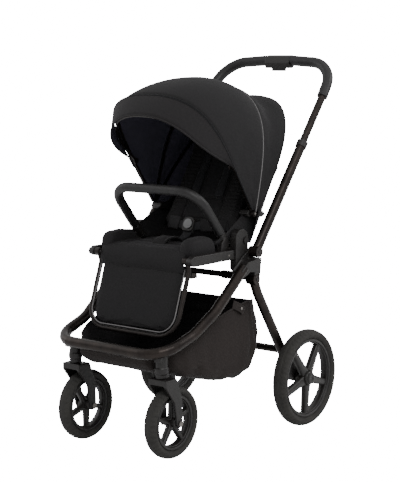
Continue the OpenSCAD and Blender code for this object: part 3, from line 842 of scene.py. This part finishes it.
def seam(name, row, r, material, body):
    obj = swept(name, row, round_section(r, 10), material)
    return place(obj, body=body)


def stitches(name, row, body, material=SEAM, size=(0.9, 0.9, 3.2), spacing=5.0):
    return place(beads(name, row, size, material, spacing), body=body)


seam("canopy_mid_piping", crown_rows[0], 1.5, THREAD, "canopy_mid")
seam("canopy_front_binding", crown_rows[-1], 2.4, SEAM, "canopy_front")
seam("canopy_rear_binding", rear_rows[0], 2.2, CANOPY_CLOTH, "backrest")
seam("visor_binding", visor_rows[-1], 2.6, VISOR_CLOTH, "canopy_visor")
seam("visor_back_seam", visor_rows[0], 1.3, SEAM, "canopy_front")
stitches("visor_stitches", [p + Vector((0, 0.3, 1)) * MM for p in visor_rows[-2]], "canopy_visor")
stitches("canopy_rear_stitches", arch_row(PIVOT, REAR, off=6.9, turn=0.3, start=2), "backrest")

# A blank woven tag on the canopy's rear edge.
tag = [on_canopy(PIVOT, REAR[0] - 1.4, 186, s) for s in (150, 158, 166, 174)]
place(strap("canopy_tag", tag, Vector((0.1, 0.85, -0.5)), 16, 1.6, WEBBING), body="backrest")


# The cover behind the backrest: cloth round the back frame, spread out to the canopy's rear bow.
def back_cover_rows():
    inner = []
    for j in range(85):
        t = math.pi * j / 84
        c, n = math.cos(t), math.sin(t)
        inner.append((162 * math.copysign(abs(c) ** 0.5, c), -14 + (BACK_LEN + 16) * n ** 0.5))
    rows = []
    for f, lift in ((0.0, -62), (0.3, -66), (0.6, -68), (0.85, -66), (1.0, -56)):
        rows.append([BACK.at(x * f, -14 + (u + 14) * f, lift) for x, u in inner])
    bow = arch_row(PIVOT, REAR, off=9, turn=-1.2, start=1.2)
    rim_row = [BACK.at(x * 1.02, u, -58) for x, u in inner]
    rows.append(rim_row)
    for f in (0.2, 0.4, 0.6, 0.8, 1.0):
        row = []
        for p, q in zip(rim_row, bow):
            crease = 3 * noise.noise(Vector((p.x * 30, p.z * 14, f * 3))) * math.sin(math.pi * f)
            row.append(p * (1 - f) + q * f + BACK.n * crease * MM)
        rows.append(row)
    return rows[1:]


cover_rows = back_cover_rows()
# The inner side takes the lining, whose colour is lightened as painted light for the shade under the
# canopy.
cover = shell("back_cover", cover_rows, 1.6, CANOPY_CLOTH, LINING_PAINTED_LIGHT)
place(cover, body="backrest")
cover_size = size_of(cover_rows)
cover_area = area_of(cover_rows)
cover_size = (cover_size[0], max(cover_size[1], cover_area / cover_size[0]))


def wing_rows(s):
    """The side cloth between seat and backrest, from the seat's edge up to the back tube."""
    rows = []
    for i in range(13):
        f = i / 12
        row = []
        for k in range(17):
            g = k / 16
            low = Vector((s * (164 - 6 * g), -74 + 160 * g, 574 - 30 * g))
            high = BACK.at(s * 148, 70 + 110 * g, -2 - 58 * g) / MM
            p = low * (1 - f) + high * f
            p.x += s * 10 * math.sin(math.pi * f) + 3 * noise.noise(Vector((f * 5, g * 4, s * 2)))
            row.append(p * MM)
        rows.append(row)
    return rows


for side, s in SIDES:
    rows = wing_rows(s)
    wing = shell(f"seat_wing_{side}", rows, 3.0, SEAT_CLOTH, SEAT_CLOTH)
    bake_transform(wing)
    size = size_of(rows)
    wing_area = area_of(rows)
    size = (max(size[0], wing_area / size[1]), size[1])

# The flap that closes the gap under the backrest.
flap_rows = []
for i in range(11):
    f = i / 10
    low, high = Vector((0, 54, 552)), BACK.at(0, 6, -40) / MM
    flap_rows.append([(low * (1 - f) + high * f + Vector((x, 6 * math.sin(math.pi * f), 0))
                       + Vector((0, 2, 0)) * noise.noise(Vector((x / 40, f * 3, 1)))) * MM
                      for x in range(-162, 163, 6)])
flap = shell("seat_flap", flap_rows, 3.0, SEAT_CLOTH, SEAT_CLOTH)
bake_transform(flap)


# ---------------------------------------------------------------- basket

def basket_rows():
    """Rows from the front lip to the rear wall's top: each is a U across the stroller."""
    # y and z at the bottom, y and z at the side's top, half-width
    stations = [(-328, 292, -328, 303, 112), (-318, 268, -322, 304, 122), (-300, 252, -312, 306, 132),
                (-276, 243, -290, 310, 140), (-246, 235, -262, 318, 168), (-205, 221, -222, 334, 184),
                (-137, 204, -150, 358, 194), (-72, 186, -80, 382, 197), (9, 178, -10, 398, 198),
                (66, 186, 40, 406, 197), (100, 214, 62, 404, 194), (117, 245, 74, 400, 190),
                (121, 286, 82, 398, 186), (117, 326, 86, 398, 183), (106, 366, 88, 400, 181),
                (96, 400, 90, 404, 180)]
    out = []
    for a, b in zip(stations, stations[1:]):
        out += [[p * (1 - k / 5) + q * k / 5 for p, q in zip(a, b)] for k in range(5)]
    out.append(list(stations[-1]))
    rows = []
    for y0, low, y1, high, half in out:
        row = []
        for j in range(73):
            t = math.radians(180 * j / 72)
            c, s = math.cos(t), math.sin(t)
            x = math.copysign(abs(c) ** 0.16, c) * half
            g = 1 - abs(s) ** 0.16
            y, z = y0 + (y1 - y0) * g, low + (high - low) * g
            fold = 9 * noise.noise(Vector((x / 80, (y + z * 0.6) / 38, z / 60)))
            fold += 5.5 * noise.noise(Vector((x / 30, (y - z * 0.4) / 17, z / 40)))
            fan = math.atan2(400 - z, 30 - y) * 9
            fold += 6 * abs(math.cos(fan + 2 * noise.noise(Vector((x / 90, y / 60, z / 60))))) ** 3
            fold -= 2.5 * abs(noise.noise(Vector((x / 90, (y + z) / 26, z / 70 + 5))))
            hold = min(1, (high - z) / 45) * min(1, (y + 330) / 60)
            row.append(Vector((x - math.copysign(abs(fold) * hold * 0.8, x), y + fold * hold * 0.4,
                               z + fold * hold * 0.4 - 5)) * MM)
        rows.append(row)
    return rows


# The bag rides on the frame.
bag_rows = basket_rows()
bag = shell("basket_bag", bag_rows, 1.4, BASKET_CLOTH, BASKET_LINING)
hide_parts("basket")
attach(bag, "frame")
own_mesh(bag)


# The bag's hem, and a snap tab that ties it to the frame on each side.
for end, row in (("left", [r[0] for r in bag_rows]), ("right", [r[-1] for r in bag_rows])):
    hem = swept(f"basket_hem_{end}", row, round_section(2.4, 10), BASKET_CLOTH)
    place(hem, body="frame")
    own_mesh(hem)
for side, s in SIDES:
    tab = eased([Vector((s * x, y, z)) * MM for x, y, z in
                 ((199, -28, 402), (201, -14, 396), (202, 6, 386), (201, 22, 376))], 6)
    place(strap(f"basket_tab_{side}", tab, Vector((0, 0.5, 0.85)), 24, 2.4, BASKET_CLOTH), body="frame")
    place(beads(f"basket_snap_{side}", [Vector((s * 204, 8, 385)) * MM], (4, 9, 9), STEEL), body="frame")

# Screw heads on the canopy mounts and the seat rails.
for side, s in SIDES:
    heads = [Vector((s * (HOOP_X + 2.6), 88, 649)) * MM]
    place(beads(f"mount_screws_{side}", heads, (3, 8, 8), STEEL), body="backrest")
    heads = [Vector((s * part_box("seat_frame")[1][0] / MM, -34, 541)) * MM]
    place(beads(f"rail_screws_{side}", heads, (2.4, 7, 7), STEEL), body="seat")


# ---------------------------------------------------------------- stage

def seen_and_cast(tree, seen, cast):
    """A strength that the camera sees as one value and that lights the scene as another."""
    path = add(tree, "ShaderNodeLightPath")
    return add(tree, "ShaderNodeMapRange", {"Value": path.outputs["Is Camera Ray"], "To Min": cast,
                                            "To Max": seen}).outputs["Result"]


def studio():
    world = bpy.data.worlds.new("studio")
    bpy.context.scene.world = world
    world.use_nodes = True
    tree = world.node_tree
    sky = tree.nodes["Background"]
    sky.inputs["Color"].default_value = (1, 1, 1, 1)
    tree.links.new(seen_and_cast(tree, 22.0, 0.95), sky.inputs["Strength"])
    floor_mat, tree = new_material("studio_floor")
    shader = add(tree, "ShaderNodeBsdfPrincipled",
                 {"Base Color": (0.9, 0.9, 0.9, 1), "Roughness": 0.9, "Emission Color": (1, 1, 1, 1),
                  "Emission Strength": seen_and_cast(tree, 20.0, 0.0)})
    finish_shader(tree, shader)
    floor = make("floor", [(-8, -8, 0), (8, -8, 0), (8, 8, 0), (-8, 8, 0)], [(0, 1, 2, 3)], floor_mat)
    lights = (("key", (3.2, -2.2, 3.6), 2.2, 135), ("fill", (-3.5, -1.5, 2.5), 3.0, 45),
              ("rim", (2.5, 2.5, 3.0), 2.0, 70), ("top", (0.2, 0.3, 3.4), 1.6, 10))
    for name, place_at, size, power in lights:
        light = bpy.data.lights.new(name, "AREA")
        light.size = size
        light.energy = power
        obj = bpy.data.objects.new(name, light)
        obj.location = place_at
        obj.rotation_euler = (Vector((0, 0, 0.55)) - Vector(place_at)).to_track_quat("-Z", "Y").to_euler()
        bpy.context.scene.collection.objects.link(obj)


def camera():
    """Stands level with the handle, ahead and to the side."""
    turn, down = math.radians(38.08), math.radians(7.74)
    right = Vector((math.cos(turn), math.sin(turn), 0))
    back = Vector((math.sin(turn) * math.cos(down), -math.cos(turn) * math.cos(down), math.sin(down)))
    data = bpy.data.cameras.new("camera")
    data.lens = 100.64
    data.sensor_width = 36
    obj = bpy.data.objects.new("camera", data)
    obj.location = right * 0.04606 + Vector((0, 0, 0.5636)) + back * 3.944
    obj.rotation_euler = back.to_track_quat("Z", "Y").to_euler()
    bpy.context.scene.collection.objects.link(obj)
    bpy.context.scene.camera = obj


studio()
camera()
